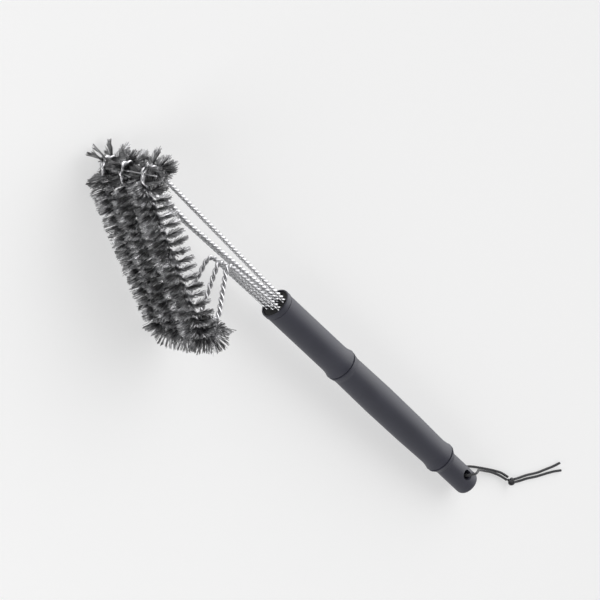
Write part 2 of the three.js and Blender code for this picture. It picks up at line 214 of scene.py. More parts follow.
class StageSettings(bpy.types.PropertyGroup):
    """Camera, floor and lights."""

    distance: size("Camera distance", 10.0, "From the camera to the point that it looks at")
    aim: FloatVectorProperty(
        name="Aim",
        description="The point in the middle of the view",
        default=(0.00987, -0.04538, 0.03253),
        unit="LENGTH",
    )
    azimuth: turn("Azimuth", 114.21, "Camera's direction round the brush")
    elevation: turn("Elevation", 55.48, "Camera's height above the horizon")
    roll: turn("Roll", 103.71, "Camera's roll about its line of sight")
    width: size("View width", 0.465, "How much of the scene the view is wide")
    floor_colour: tint("Floor colour", (0.5, 0.5, 0.5), "Plain pale floor")
    floor_glow: plain("Floor glow", 0.48, "How much the floor is lit from below")
    sky: plain("Sky", 2.4, "Brightness of the studio")
    front: span("Front", (0.9, 0.25), "Where the studio is dark and light, towards the camera")
    front_dark: plain("Front dark", 0.15, "Brightness round the camera")
    side: span("Side", (0.45, 0.9), "Where the studio is dark and light, to the upper right")
    side_dark: plain("Side dark", 0.24, "Brightness everywhere but at the upper right")
    key: watts("Key light", 26, "Power of the key light")
    rim: watts("Rim light", 3, "Power of the rim light")


# ---- Modelling helpers ----


def clear_selection():
    """Nothing selected and nothing active, in object mode."""
    if bpy.context.object and bpy.context.object.mode != "OBJECT":
        bpy.ops.object.mode_set(mode="OBJECT")
    bpy.ops.object.select_all(action="DESELECT")


def take(piece):
    """Selects one object alone and makes it active."""
    clear_selection()
    piece.select_set(True)
    bpy.context.view_layer.objects.active = piece


def edit(piece):
    """Opens one object in edit mode."""
    take(piece)
    bpy.ops.object.mode_set(mode="EDIT")


def tidy_mesh(piece):
    """Merges doubled vertices and turns the faces outwards."""
    edit(piece)
    bpy.ops.mesh.select_all(action="SELECT")
    bpy.ops.mesh.remove_doubles(threshold=1e-6)
    bpy.ops.mesh.normals_make_consistent(inside=False)
    bpy.ops.object.mode_set(mode="OBJECT")


def lay_down(piece, matrix):
    """Lays a finished piece on the table, with its place in its mesh."""
    take(piece)
    piece.matrix_world = matrix
    bpy.ops.object.transform_apply(location=True, rotation=True, scale=True)


def finish_piece(piece, name, material, nodes):
    """Names a piece, gives it its finish and its body, and hides the frame nodes that it stands for."""
    piece.name = piece.data.name = name
    piece.data.materials.clear()
    piece.data.materials.append(material)
    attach(piece, "root")
    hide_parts(*nodes)
    return piece


def smooth(piece, degrees):
    """Smooth shading, with edges sharper than the angle kept."""
    take(piece)
    bpy.ops.object.shade_smooth_by_angle(angle=math.radians(degrees))


def turned(name, outline, sides):
    """A round piece about X: a ring is extruded and scaled through an outline of (along, radius) points."""
    clear_selection()
    along, radius = outline[0]
    bpy.ops.mesh.primitive_circle_add(
        vertices=sides,
        radius=radius,
        fill_type="NGON",
        location=(along, 0, 0),
        rotation=(0, math.pi / 2, 0),
    )
    piece = bpy.context.object
    bpy.ops.object.transform_apply(location=True, rotation=True, scale=True)
    edit(piece)
    bpy.ops.mesh.select_all(action="SELECT")
    for next_along, next_radius in outline[1:]:
        bpy.ops.mesh.extrude_region_move(TRANSFORM_OT_translate={"value": (next_along - along, 0, 0)})
        scale = next_radius / radius
        bpy.ops.transform.resize(value=(1, scale, scale), center_override=(next_along, 0, 0))
        along, radius = next_along, next_radius
    bpy.ops.object.mode_set(mode="OBJECT")
    piece.name = name
    tidy_mesh(piece)
    return piece


def cut(piece, cutters):
    """Cuts other objects out of a piece, and removes them."""
    for cutter in cutters:
        take(piece)
        modifier = piece.modifiers.new("Cut", "BOOLEAN")
        modifier.operation = "DIFFERENCE"
        modifier.solver = "EXACT"
        modifier.object = cutter
        bpy.ops.object.modifier_apply(modifier=modifier.name)
        bpy.data.objects.remove(cutter)


def wire_mesh(name, lines, radius, sides_step):
    """Round wires along one or more lines of points, as one closed mesh with a UV map along each wire."""
    clear_selection()
    bpy.ops.curve.primitive_nurbs_path_add()
    piece = bpy.context.object
    curve = piece.data
    curve.splines.clear()
    for line in lines:
        spline = curve.splines.new("POLY")
        spline.points.add(len(line) - 1)
        spline.points.foreach_set("co", np.column_stack([line, np.ones(len(line))]).ravel())
    curve.twist_mode = "MINIMUM"
    curve.bevel_depth = radius
    curve.bevel_resolution = sides_step
    curve.use_fill_caps = True
    bpy.ops.object.convert(target="MESH")
    piece = bpy.context.object
    piece.name = name
    tidy_mesh(piece)
    smooth(piece, 50)
    return piece


# ---- Lines that the wires follow ----


def unit(vector):
    return vector / np.linalg.norm(vector)


def rounded(corners, step):
    """A line of points about a step apart through corners, each rounded to its own radius."""
    places = [np.array(place, float) for place, _ in corners]
    points = []
    start = places[0]
    for i in range(1, len(corners)):
        if i == len(corners) - 1:
            end, arc = places[i], []
        else:
            into, out = unit(places[i] - places[i - 1]), unit(places[i + 1] - places[i])
            angle = math.acos(max(-1.0, min(1.0, float(into @ out))))
            radius = corners[i][1]
            end = places[i] - into * radius * math.tan(angle / 2)
            inward = (out - into * math.cos(angle)) / math.sin(angle)
            count = max(2, round(angle * radius / step))
            turns = [angle * k / count for k in range(1, count + 1)]
            arc = [end + into * radius * math.sin(a) + inward * radius * (1 - math.cos(a)) for a in turns]
        count = max(1, round(np.linalg.norm(end - start) / step))
        points += [start + (end - start) * k / count for k in range(count)] + [end] * bool(arc)
        points += arc[:-1]
        start = arc[-1] if arc else end
    return np.array(points + [start])


def loop_corners(loops, shape):
    """The corners of one loop with their radii, from its stem's end in the plug to its tail's end."""
    place, lean, reach = shape["place"], shape["lean"], shape["reach"]
    row, tip, leg = loops.row_height, loops.tip + reach, loops.leg + reach
    hairpin = loops.hairpin_radius * (1 + math.tan((math.pi / 2 - loops.run_angle) / 2))
    run_top = hairpin - row
    run_bottom = run_top + (tip - leg) * math.tan(loops.run_angle)
    mouth_z, tip_z = place * loops.mouth_spacing, lean * loops.tip_spacing
    bow_z = mouth_z + (tip_z - mouth_z) * shape["bow_x"] / tip
    bend = 0.99 * loops.hairpin_radius
    return [
        ((-loops.wire_depth, -row, mouth_z), 0),
        ((0.001, -row, mouth_z), 0.06),
        ((shape["bow_x"], shape["bow"] - row, bow_z), 0.12),
        ((tip, -row, tip_z), bend),
        ((tip, run_top, tip_z), bend),
        ((leg, run_bottom, lean * loops.turn_spacing), loops.turn_radius),
        ((loops.knee + reach, loops.knee_height, place * loops.knee_spacing), 0.02),
        ((shape["bend_x"], loops.junction_height, place * loops.junction_spacing), 0.005),
        ((0.001, row, mouth_z), 0.06),
        ((-loops.wire_depth, row, mouth_z), 0),
    ]


# Each loop's own place: its side at the mouth, its lean outwards at the tip, how far it reaches past the tip,
# where its leg bends into its tail, and where and how far its stem bows.
LOOPS = {
    "right": {"place": 1, "lean": 1, "reach": 0, "bend_x": 0.062, "bow_x": 0.060, "bow": 0},
    "middle": {"place": 0, "lean": 0, "reach": 0.003, "bend_x": 0.0665, "bow_x": 0.105, "bow": 0.0045},
    "left": {"place": -1, "lean": -0.72, "reach": 0.008, "bend_x": 0.073, "bow_x": 0.060, "bow": 0},
}


class Twist:
    """The line of one loop, with the directions across it and the angle that its strands have turned to."""

    def __init__(self, loops, shape):
        step = 0.0005
        corners = loop_corners(loops, shape)
        raw = rounded(corners, step)
        length = np.concatenate([[0], np.cumsum(np.linalg.norm(np.diff(raw, axis=0), axis=1))])
        self.along = np.arange(0, length[-1], step)
        self.points = np.column_stack([np.interp(self.along, length, raw[:, k]) for k in range(3)])
        self.forward = np.gradient(self.points, axis=0)
        self.forward /= np.linalg.norm(self.forward, axis=1)[:, None]
        self.across = np.zeros_like(self.points)
        across = unit(np.cross(self.forward[0], (0, 0, 1)))
        for i, forward in enumerate(self.forward):
            across = unit(across - forward * (across @ forward))
            self.across[i] = across
        self.other = np.cross(self.forward, self.across)
        places = [np.array(place, float) for place, _ in corners]
        self.marks = [float(self.along[np.argmin(np.linalg.norm(self.points - p, axis=1))]) for p in places]
        half_turn = loops.turn_radius * (math.pi / 2 + loops.run_angle) / 2
        self.turn_end = self.marks[5] + half_turn
        left_handed = -2 * math.pi
        self.angle = np.cumsum(left_handed * step / self.pitch(loops))

    def pitch(self, loops):
        """The length of one whole turn along the line, which is tighter where no bristles are held."""
        tight, bristled, leg = loops.tight_pitch, loops.bristled_pitch, loops.leg_pitch
        stem, run_end, junction = self.marks[3] - 0.022, self.turn_end - 0.003, self.marks[7] - 0.002
        places = [stem, stem + 0.007, run_end, run_end + 0.006, junction, junction + 0.005]
        return np.interp(self.along, places, [tight, bristled, bristled, leg, leg, tight])

    def direction(self, index, angle):
        """The unit direction across the wire at an index and an angle round it."""
        across, other = self.across[index], self.other[index]
        return across * np.cos(angle)[..., None] + other * np.sin(angle)[..., None]

    def strand(self, half_turn, offset, every):
        """The line of one of the two strands."""
        index = np.arange(0, len(self.along), every)
        return self.points[index] + offset * self.direction(index, self.angle[index] + half_turn)


def twists(loops):
    """Each loop's line, by its name."""
    return {name: Twist(loops, shape) for name, shape in LOOPS.items()}


# ---- Materials ----


def new_material(name):
    """An empty material with a Principled shader, its nodes and its links."""
    material = bpy.data.materials.new(name)
    material.use_nodes = True
    nodes = material.node_tree.nodes
    return material, nodes, material.node_tree.links, nodes["Principled BSDF"]


def group_of(name, inputs, outputs):
    """An empty shader node group with named float inputs and outputs."""
    group = bpy.data.node_groups.new(name, "ShaderNodeTree")
    for socket, kind, default in inputs:
        made = group.interface.new_socket(name=socket, in_out="INPUT", socket_type=kind)
        made.default_value = default
    for socket, kind in outputs:
        group.interface.new_socket(name=socket, in_out="OUTPUT", socket_type=kind)
    enter = group.nodes.new("NodeGroupInput")
    leave = group.nodes.new("NodeGroupOutput")
    return group, enter, leave


def math_node(tree, operation, first, second):
    """A Math node on two sockets or numbers, and its output."""
    node = tree.nodes.new("ShaderNodeMath")
    node.operation = operation
    for i, value in enumerate((first, second)):
        if isinstance(value, (int, float)):
            node.inputs[i].default_value = value
        else:
            tree.links.new(value, node.inputs[i])
    return node.outputs[0]


def moulded_group():
    """Fine grain and slow cloudiness of moulded plastic: a height, a roughness and a tone that vary."""
    name = "Moulded surface"
    if name in bpy.data.node_groups:
        return bpy.data.node_groups[name]
    group, enter, leave = group_of(
        name,
        [("Grain scale", "NodeSocketFloat", 2200), ("Roughness", "NodeSocketFloat", 0.45)],
        [("Height", "NodeSocketFloat"), ("Roughness", "NodeSocketFloat"), ("Tone", "NodeSocketFloat")],
    )
    where = group.nodes.new("ShaderNodeTexCoord")
    grain = group.nodes.new("ShaderNodeTexNoise")
    grain.inputs["Detail"].default_value = 3
    cloud = group.nodes.new("ShaderNodeTexNoise")
    cloud.inputs["Scale"].default_value = 38
    cloud.inputs["Detail"].default_value = 4
    for node in (grain, cloud):
        group.links.new(where.outputs["Object"], node.inputs["Vector"])
    group.links.new(enter.outputs["Grain scale"], grain.inputs["Scale"])
    group.links.new(grain.outputs["Fac"], leave.inputs["Height"])
    group.links.new(cloud.outputs["Fac"], leave.inputs["Tone"])
    vary = math_node(group, "MULTIPLY", math_node(group, "SUBTRACT", cloud.outputs["Fac"], 0.5), 0.3)
    speck = math_node(group, "MULTIPLY", math_node(group, "SUBTRACT", grain.outputs["Fac"], 0.5), 0.12)
    total = math_node(group, "ADD", math_node(group, "ADD", vary, speck), enter.outputs["Roughness"])
    group.links.new(total, leave.inputs["Roughness"])
    return group


def drawn_group():
    """Lengthwise streaks of drawn wire: a tone and a height that vary round and along it."""
    name = "Drawn wire"
    if name in bpy.data.node_groups:
        return bpy.data.node_groups[name]
    group, enter, leave = group_of(
        name,
        [("Round", "NodeSocketFloat", 18), ("Along", "NodeSocketFloat", 40)],
        [("Tone", "NodeSocketFloat"), ("Height", "NodeSocketFloat")],
    )
    where = group.nodes.new("ShaderNodeTexCoord")
    parts = group.nodes.new("ShaderNodeSeparateXYZ")
    stretched = group.nodes.new("ShaderNodeCombineXYZ")
    streaks = group.nodes.new("ShaderNodeTexNoise")
    streaks.inputs["Scale"].default_value = 1
    streaks.inputs["Detail"].default_value = 3
    group.links.new(where.outputs["UV"], parts.inputs[0])
    round_wire = math_node(group, "MULTIPLY", parts.outputs["X"], enter.outputs["Round"])
    along_wire = math_node(group, "MULTIPLY", parts.outputs["Y"], enter.outputs["Along"])
    group.links.new(round_wire, stretched.inputs["X"])
    group.links.new(along_wire, stretched.inputs["Y"])
    group.links.new(stretched.outputs[0], streaks.inputs["Vector"])
    group.links.new(streaks.outputs["Fac"], leave.inputs["Height"])
    group.links.new(streaks.outputs["Fac"], leave.inputs["Tone"])
    return group


def placed(nodes, group):
    """A node group placed in a material."""
    node = nodes.new("ShaderNodeGroup")
    node.node_tree = group
    return node


def bump(nodes, links, height, shader, strength, distance):
    """A Bump node from a height to a shader's normal."""
    node = nodes.new("ShaderNodeBump")
    node.inputs["Strength"].default_value = strength
    node.inputs["Distance"].default_value = distance
    links.new(height, node.inputs["Height"])
    links.new(node.outputs["Normal"], shader.inputs["Normal"])


def ramp_of(nodes, links, factor, stops):
    """A colour ramp through (position, colour) stops."""
    node = nodes.new("ShaderNodeValToRGB")
    elements = node.color_ramp.elements
    while len(elements) < len(stops):
        elements.new(0.5)
    for element, (position, colour) in zip(elements, stops):
        element.position = position
        element.color = (*colour, 1)
    links.new(factor, node.inputs["Fac"])
    return node.outputs["Color"]


def shade_of(colour, factor):
    """A colour made lighter or darker."""
    return tuple(min(1.0, channel * factor) for channel in colour)


def plastic_material(name, colour, roughness, grain_scale, grain_strength):
    """Moulded plastic: fine grain, slightly cloudy colour and gloss."""
    material, nodes, links, shader = new_material(name)
    surface = placed(nodes, moulded_group())
    surface.inputs["Grain scale"].default_value = grain_scale
    surface.inputs["Roughness"].default_value = roughness
    stops = [(0.3, shade_of(colour, 0.9)), (0.7, shade_of(colour, 1.12))]
    links.new(ramp_of(nodes, links, surface.outputs["Tone"], stops), shader.inputs["Base Color"])
    links.new(surface.outputs["Roughness"], shader.inputs["Roughness"])
    shader.inputs["Specular IOR Level"].default_value = 0.5
    bump(nodes, links, surface.outputs["Height"], shader, grain_strength, 0.0002)
    return material


def wire_material(name, colour, roughness, along):
    """Bright drawn steel with streaks along the wire."""
    material, nodes, links, shader = new_material(name)
    drawn = placed(nodes, drawn_group())
    drawn.inputs["Along"].default_value = along
    stops = [(0.25, shade_of(colour, 0.78)), (0.5, colour), (0.75, shade_of(colour, 1.12))]
    links.new(ramp_of(nodes, links, drawn.outputs["Tone"], stops), shader.inputs["Base Color"])
    spread = nodes.new("ShaderNodeMapRange")
    spread.inputs["To Min"].default_value = roughness - 0.07
    spread.inputs["To Max"].default_value = roughness + 0.12
    links.new(drawn.outputs["Tone"], spread.inputs["Value"])
    links.new(spread.outputs["Result"], shader.inputs["Roughness"])
    shader.inputs["Metallic"].default_value = 1
    bump(nodes, links, drawn.outputs["Height"], shader, 0.05, 0.0001)
    return material


def bristle_material(colour):
    """Fine spring steel: each bristle has its own tone, and the lighter ones are glossier."""
    material, nodes, links, shader = new_material("Bristle steel")
    tone = nodes.new("ShaderNodeAttribute")
    tone.attribute_name = "tone"
    stops = [
        (0.0, shade_of(colour, 0.2)),
        (0.45, shade_of(colour, 0.7)),
        (0.8, shade_of(colour, 1.25)),
        (1.0, shade_of(colour, 1.9)),
    ]
    links.new(ramp_of(nodes, links, tone.outputs["Fac"], stops), shader.inputs["Base Color"])
    spread = nodes.new("ShaderNodeMapRange")
    spread.inputs["To Min"].default_value = 0.45
    spread.inputs["To Max"].default_value = 0.25
    links.new(tone.outputs["Fac"], spread.inputs["Value"])
    links.new(spread.outputs["Result"], shader.inputs["Roughness"])
    shader.inputs["Metallic"].default_value = 1
    return material


def cord_material(colour, length):
    """Braided cord: two sets of ridges cross along it, with painted shade between them, painted highlights on
    them and a slightly waxed sheen.
    """
    material, nodes, links, shader = new_material("Waxed braid")
    tree = material.node_tree
    where = nodes.new("ShaderNodeTexCoord")
    parts = nodes.new("ShaderNodeSeparateXYZ")
    links.new(where.outputs["UV"], parts.inputs[0])
    round_cord = math_node(tree, "MULTIPLY", parts.outputs["X"], 6)
    along_cord = math_node(tree, "MULTIPLY", parts.outputs["Y"], length / 0.0016)
    ridges = []
    for operation in ("ADD", "SUBTRACT"):
        slant = math_node(tree, operation, round_cord, along_cord)
        wave = math_node(tree, "SINE", math_node(tree, "MULTIPLY", slant, 2 * math.pi), 0)
        ridges.append(math_node(tree, "MULTIPLY", math_node(tree, "ADD", wave, 1), 0.5))
    braid = math_node(tree, "MAXIMUM", *ridges)
    # Painted shade and highlight: the ramp darkens the black cord in the grooves between the ridges and
    # lightens it on their crests.
    stops = [(0.35, shade_of(colour, 0.45)), (0.8, colour), (1.0, shade_of(colour, 1.7))]
    links.new(ramp_of(nodes, links, braid, stops), shader.inputs["Base Color"])
    shader.inputs["Roughness"].default_value = 0.62
    shader.inputs["Sheen Weight"].default_value = 0.25
    bump(nodes, links, braid, shader, 0.6, 0.0002)
    return material


# ---- Stage ----


class BRUSH_OT_stage(bpy.types.Operator):
    """Sets the camera, the pale floor and the soft lights"""

    bl_idname = "brush.stage"
    bl_label = "Stage"

    def execute(self, context):
        stage = context.scene.brush_stage
        self.add_camera(context, stage)
        self.add_floor(stage)
        self.add_lights(context, stage)
        return {"FINISHED"}

    def add_camera(self, context, stage):
        """A long lens a long way off, so that it sees the brush almost without perspective."""
        back = Vector(
            (
                math.sin(stage.azimuth) * math.cos(stage.elevation),
                -math.cos(stage.azimuth) * math.cos(stage.elevation),
                math.sin(stage.elevation),
            )
        )
        data = bpy.data.cameras.new("Camera")
        camera = bpy.data.objects.new("Camera", data)
        context.scene.collection.objects.link(camera)
        camera.rotation_mode = "QUATERNION"
        level = back.to_track_quat("Z", "Y")
        camera.rotation_quaternion = level @ Quaternion((0, 0, 1), stage.roll)
        camera.location = Vector(stage.aim) + back * stage.distance
        data.lens = data.sensor_width * stage.distance / stage.width
        data.clip_start, data.clip_end = 0.1, 100
        context.scene.camera = camera

    def add_floor(self, stage):
        """A plain pale floor, which the bright wires don't mirror."""
        clear_selection()
        bpy.ops.mesh.primitive_plane_add(size=60, location=(0, 0, 0))
        floor = bpy.context.object
        floor.name = "Floor"
        material, _, _, shader = new_material("Floor")
        shader.inputs["Base Color"].default_value = (*stage.floor_colour, 1)
        shader.inputs["Roughness"].default_value = 0.9
        shader.inputs["Emission Color"].default_value = (1, 1, 1, 1)
        shader.inputs["Emission Strength"].default_value = stage.floor_glow
        floor.data.materials.append(material)
        floor.visible_glossy = False

    def add_lights(self, context, stage):
        """A studio that is light at the upper right and dark round the camera, and two large soft lights."""
        context.scene.view_settings.view_transform = "Standard"
        facing = context.scene.camera.rotation_quaternion
        world = bpy.data.worlds.new("Studio")
        context.scene.world = world
        world.use_nodes = True
        nodes, links = world.node_tree.nodes, world.node_tree.links
        where = nodes.new("ShaderNodeTexCoord")
        parts = []
        for axis, (dark_at, light_at), dark in (
            ((0, 0, 1), stage.front, stage.front_dark),
            ((0.71, 0.71, 0), stage.side, stage.side_dark),
        ):
            across = nodes.new("ShaderNodeVectorMath")
            across.operation = "DOT_PRODUCT"
            across.inputs[1].default_value = facing @ Vector(axis)
            links.new(where.outputs["Generated"], across.inputs[0])
            part = nodes.new("ShaderNodeMapRange")
            part.inputs["From Min"].default_value = dark_at
            part.inputs["From Max"].default_value = light_at
            part.inputs["To Min"].default_value = dark
            links.new(across.outputs["Value"], part.inputs["Value"])
            parts.append(part.outputs["Result"])
        shade = math_node(world.node_tree, "MULTIPLY", *parts)
        strength = math_node(world.node_tree, "MULTIPLY", shade, stage.sky)
        links.new(strength, nodes["Background"].inputs["Strength"])
        nodes["Background"].inputs["Color"].default_value = (1, 1, 1, 1)
        lamps = (("Key", (-1.3, -0.9, 2.0), 1.4, stage.key), ("Rim", (1.8, 1.3, 1.0), 1.2, stage.rim))
        for name, place, width, power in lamps:
            data = bpy.data.lights.new(name, "AREA")
            data.size = width
            data.energy = power
            light = bpy.data.objects.new(name, data)
            context.scene.collection.objects.link(light)
            place = facing @ Vector(place)
            light.location = Vector(stage.aim) + place
            light.rotation_mode = "QUATERNION"
            light.rotation_quaternion = place.to_track_quat("Z", "Y")


# ---- Lanyard ----

# Where the cord lies, in millimetres: two stretches from inside the handle's hole to the knot, and two tails.
UPPER_ROUTE = [
    (-215.4, -32.5, 13.13), (-215.5, -33, 15.45), (-215.6, -33.5, 17.65), (-215.6, -34, 19.65),
    (-215.6, -34.3, 21.35), (-215.7, -34.6, 22.66), (-216.2, -35.2, 23.83), (-216.9, -36, 24.71),
    (-217.7, -37.1, 25.21), (-218.6, -38.2, 25.35), (-219.6, -39.2, 25.07), (-220.4, -40.2, 24.43),
    (-223.4, -43.2, 20.24), (-225.6, -44.9, 16.7), (-227.9, -46.3, 13.06), (-230.6, -47.7, 9.62),
    (-234.5, -49.7, 6.19), (-239.5, -52.1, 3.85), (-245.3, -54.9, 2.71), (-251.8, -57.1, 2.28),
    (-256.8, -58.2, 2.44), (-261.5, -58.8, 2.9),
]
LOWER_ROUTE = [
    (-215.4, -32.2, 12.6), (-215.3, -31.4, 11.3), (-214.8, -30.2, 9.9), (-214.2, -28.9, 8.2),
    (-214.1, -28.4, 6.2), (-214.3, -28.6, 4.38), (-214.7, -29.4, 2.62), (-215.4, -30.8, 1.46),
    (-216.2, -32.3, 1.05), (-217.7, -35.5, 1.05), (-219.7, -39.6, 1.05), (-222.2, -42.6, 1.05),
    (-225.7, -46.2, 1.05), (-230.6, -49.3, 1.05), (-236.2, -52.2, 1.05), (-242.2, -55.2, 1.05),
    (-248.2, -58, 1.15), (-254.6, -60.4, 1.6), (-261.4, -61.3, 2.6),
]
TAIL_A_ROUTE = [
    (-267.6, -63.5, 2.2), (-269.9, -65.7, 1.46), (-272, -68.1, 1.11), (-274, -70.7, 1.05),
    (-276.1, -73.2, 1.05), (-278.3, -75.6, 1.05), (-280.6, -77.9, 1.05), (-282.8, -80.3, 1.05),
    (-284.8, -82.8, 1.05), (-286.7, -85.5, 1.05), (-288.6, -88.1, 1.05), (-290.5, -90.7, 1.05),
    (-292.4, -93.4, 1.05), (-294.1, -96.2, 1.05), (-295.7, -99, 1.05),
]
TAIL_B_ROUTE = [
    (-269.3, -61.8, 2.2), (-271.7, -64, 1.46), (-273.9, -66.3, 1.11), (-276, -68.9, 1.05),
    (-278.1, -71.4, 1.05), (-280.4, -73.7, 1.05), (-282.7, -76, 1.05), (-285, -78.4, 1.05),
    (-287.1, -80.9, 1.05), (-289.2, -83.4, 1.05), (-291.3, -85.9, 1.05), (-293.5, -88.3, 1.05),
    (-295.7, -90.7, 1.05), (-298.1, -92.9, 1.05), (-300.6, -95.1, 1.05),
]
KNOT_CENTRE = (-265.4, -60.1, 3.75)


def smooth_line(points, step):
    """A smooth line through points, as points about a step apart."""
    points = np.array(points, float)
    padded = np.vstack([2 * points[0] - points[1], points, 2 * points[-1] - points[-2]])
    line = []
    for a, b, c, d in zip(padded, padded[1:], padded[2:], padded[3:]):
        count = max(1, round(np.linalg.norm(c - b) / step))
        for k in range(count):
            t = k / count
            square = (2 * a - 5 * b + 4 * c - d) * t**2
            cube = (3 * b - a - 3 * c + d) * t**3
            line.append(0.5 * (2 * b + (c - a) * t + square + cube))
    return np.array(line + [points[-1]])


def line_length(line):
    return float(np.linalg.norm(np.diff(line, axis=0), axis=1).sum())


class BRUSH_OT_lanyard(bpy.types.Operator):
    """Makes the braided lanyard and its knot"""

    bl_idname = "brush.lanyard"
    bl_label = "Lanyard"

    def execute(self, context):
        lanyard = context.scene.brush_lanyard
        knot = self.add_knot(lanyard)
        for name, route, far_end in (
            ("lanyard_upper", UPPER_ROUTE, "knot"),
            ("lanyard_lower", LOWER_ROUTE, "knot"),
            ("lanyard_tail_a", TAIL_A_ROUTE, "bare"),
            ("lanyard_tail_b", TAIL_B_ROUTE, "bare"),
        ):
            line = smooth_line([[value * MM for value in place] for place in route], 0.0006)
            length = line_length(line)
            cord = wire_mesh(name + "_braid", [line], lanyard.diameter / 2, 5)
            finish_piece(cord, name + "_braid", cord_material(lanyard.colour, length), [name])
        return {"FINISHED"}

    def add_knot(self, lanyard):
        """A tight overhand knot: the cord turns three times round itself."""
        bulge, swing = 0.46 * lanyard.knot_radius, 0.25 * lanyard.knot_radius
        turns = np.linspace(0, 2 * math.pi, 121)[:-1]
        wide = bulge + swing * np.cos(3 * turns)
        line = np.column_stack(
            [wide * np.cos(2 * turns), wide * np.sin(2 * turns), 1.2 * swing * np.sin(3 * turns)]
        )
        line = np.vstack([line, line[:1]])
        radius = 0.96 * lanyard.diameter / 2
        knot = wire_mesh("lanyard_knot_tied", [line], radius, 5)
        lean = Matrix.Rotation(math.radians(35), 4, "X") @ Matrix.Rotation(math.radians(20), 4, "Y")
        lay_down(knot, Matrix.Translation(Vector(KNOT_CENTRE) * MM) @ lean)
        material = cord_material(lanyard.colour, line_length(line))
        return finish_piece(knot, "lanyard_knot_tied", material, ["lanyard_knot"])


# ---- Handle and plug ----


def node_outline(at, before, rise, after, handle):
    """The outline of one cane node: a flare up to a lip, a groove, and a band that falls away behind it."""
    lip = before + rise
    groove = at + handle.groove_width
    depth = handle.groove_depth
    flare = [(at - 0.0095 + 0.0095 * k / 8, before + rise * (k / 8) ** 2.2) for k in range(8)]
    return [
        *flare,
        (at - 0.25 * MM, lip - 0.02 * MM),
        (at, lip - 0.12 * MM),
        (at + 0.12 * MM, lip - 0.5 * depth),
        (at + 0.3 * MM, lip - depth),
        (groove - 0.1 * MM, lip - depth),
        (groove + 0.1 * MM, lip - 0.5 * depth),
        (groove + 0.25 * MM, lip - 0.3 * MM),
        (groove + 0.6 * MM, lip - 0.22 * MM),
        (groove + 2.6 * MM, lip + (after - lip) * 0.45),
        (groove + 5.0 * MM, lip + (after - lip) * 0.82),
        (groove + 5.3 * MM, after + 0.12 * MM),
        (groove + 5.6 * MM, after),
        (groove + 7.5 * MM, after),
    ]


def handle_outline(handle):
    """The handle's outline from the bottom of its cavity round the mouth to the middle of the butt."""
    floor = handle.plug_recess + handle.plug_length
    edge = 0.6 * MM
    mouth_edge = [
        (edge * (1 - math.cos(a)), handle.mouth_radius - edge * (1 - math.sin(a)))
        for a in (math.pi / 8 * k for k in range(5))
    ]
    lip_end = handle.lip_length
    belly = (handle.first_node + handle.second_node) / 2 - 0.015
    neck = (belly + handle.second_node) / 2
    rounding = [
        (
            handle.length - handle.butt_rounding * (1 - math.sin(a)),
            handle.tail_radius - handle.butt_rounding * (1 - math.cos(a)),
        )
        for a in (math.pi / 16 * k for k in range(9))
    ]
    middle = handle.belly_radius * 0.5 + handle.neck_radius * 0.5 + 0.2 * MM
    points = [
        (floor, 1 * MM),
        (floor, handle.cavity_radius),
        (0.3 * MM, handle.cavity_radius),
        (0, handle.cavity_radius + 0.25 * MM),
        *mouth_edge,
        (lip_end - 0.2 * MM, handle.mouth_radius),
        (lip_end, handle.mouth_radius - 0.15 * MM),
        (lip_end + 0.15 * MM, handle.grip_radius - 0.4 * MM),
        (lip_end + 0.6 * MM, handle.grip_radius - 0.4 * MM),
        (lip_end + 0.9 * MM, handle.grip_radius),
        *node_outline(handle.first_node, handle.grip_radius, handle.first_rise, handle.grip_radius, handle),
        (belly, handle.belly_radius),
        (neck, middle),
        *node_outline(handle.second_node, handle.neck_radius, handle.second_rise, handle.tail_radius, handle),
        *rounding,
        (handle.length, 1 * MM),
    ]
    return [(-along, radius) for along, radius in points]


class BRUSH_OT_handle(bpy.types.Operator):
    """Turns the cane-style handle and drills its lanyard hole"""

    bl_idname = "brush.handle"
    bl_label = "Handle"

    def execute(self, context):
        handle = context.scene.brush_handle
        piece = turned("handle", handle_outline(handle), 96)
        cut(piece, [self.hole_cutter(handle)])
        smooth(piece, 32)
        lay_down(piece, lay_matrix(handle.length))
        material = plastic_material("Handle plastic", handle.colour, 0.42, 2600, 0.18)
        finish_piece(piece, "handle_moulded", material, ["handle_grip"])
        return {"FINISHED"}

    def hole_cutter(self, handle):
        """A drill for the hole, flared where it meets the surface."""
        reach = handle.tail_radius
        radius = handle.hole_radius
        outline = [
            (-1.4 * reach, radius + 0.4 * MM),
            (-0.93 * reach, radius + 0.4 * MM),
            (-0.86 * reach, radius),
            (0.86 * reach, radius),
            (0.93 * reach, radius + 0.4 * MM),
            (1.4 * reach, radius + 0.4 * MM),
        ]
        cutter = turned("hole", outline, 48)
        across = Matrix.Rotation(math.pi / 2, 4, "Y")
        lean = Matrix.Rotation(handle.hole_turn, 4, "X")
        lay_down(cutter, Matrix.Translation((handle.hole_inset - handle.length, 0, 0)) @ lean @ across)
        return cutter


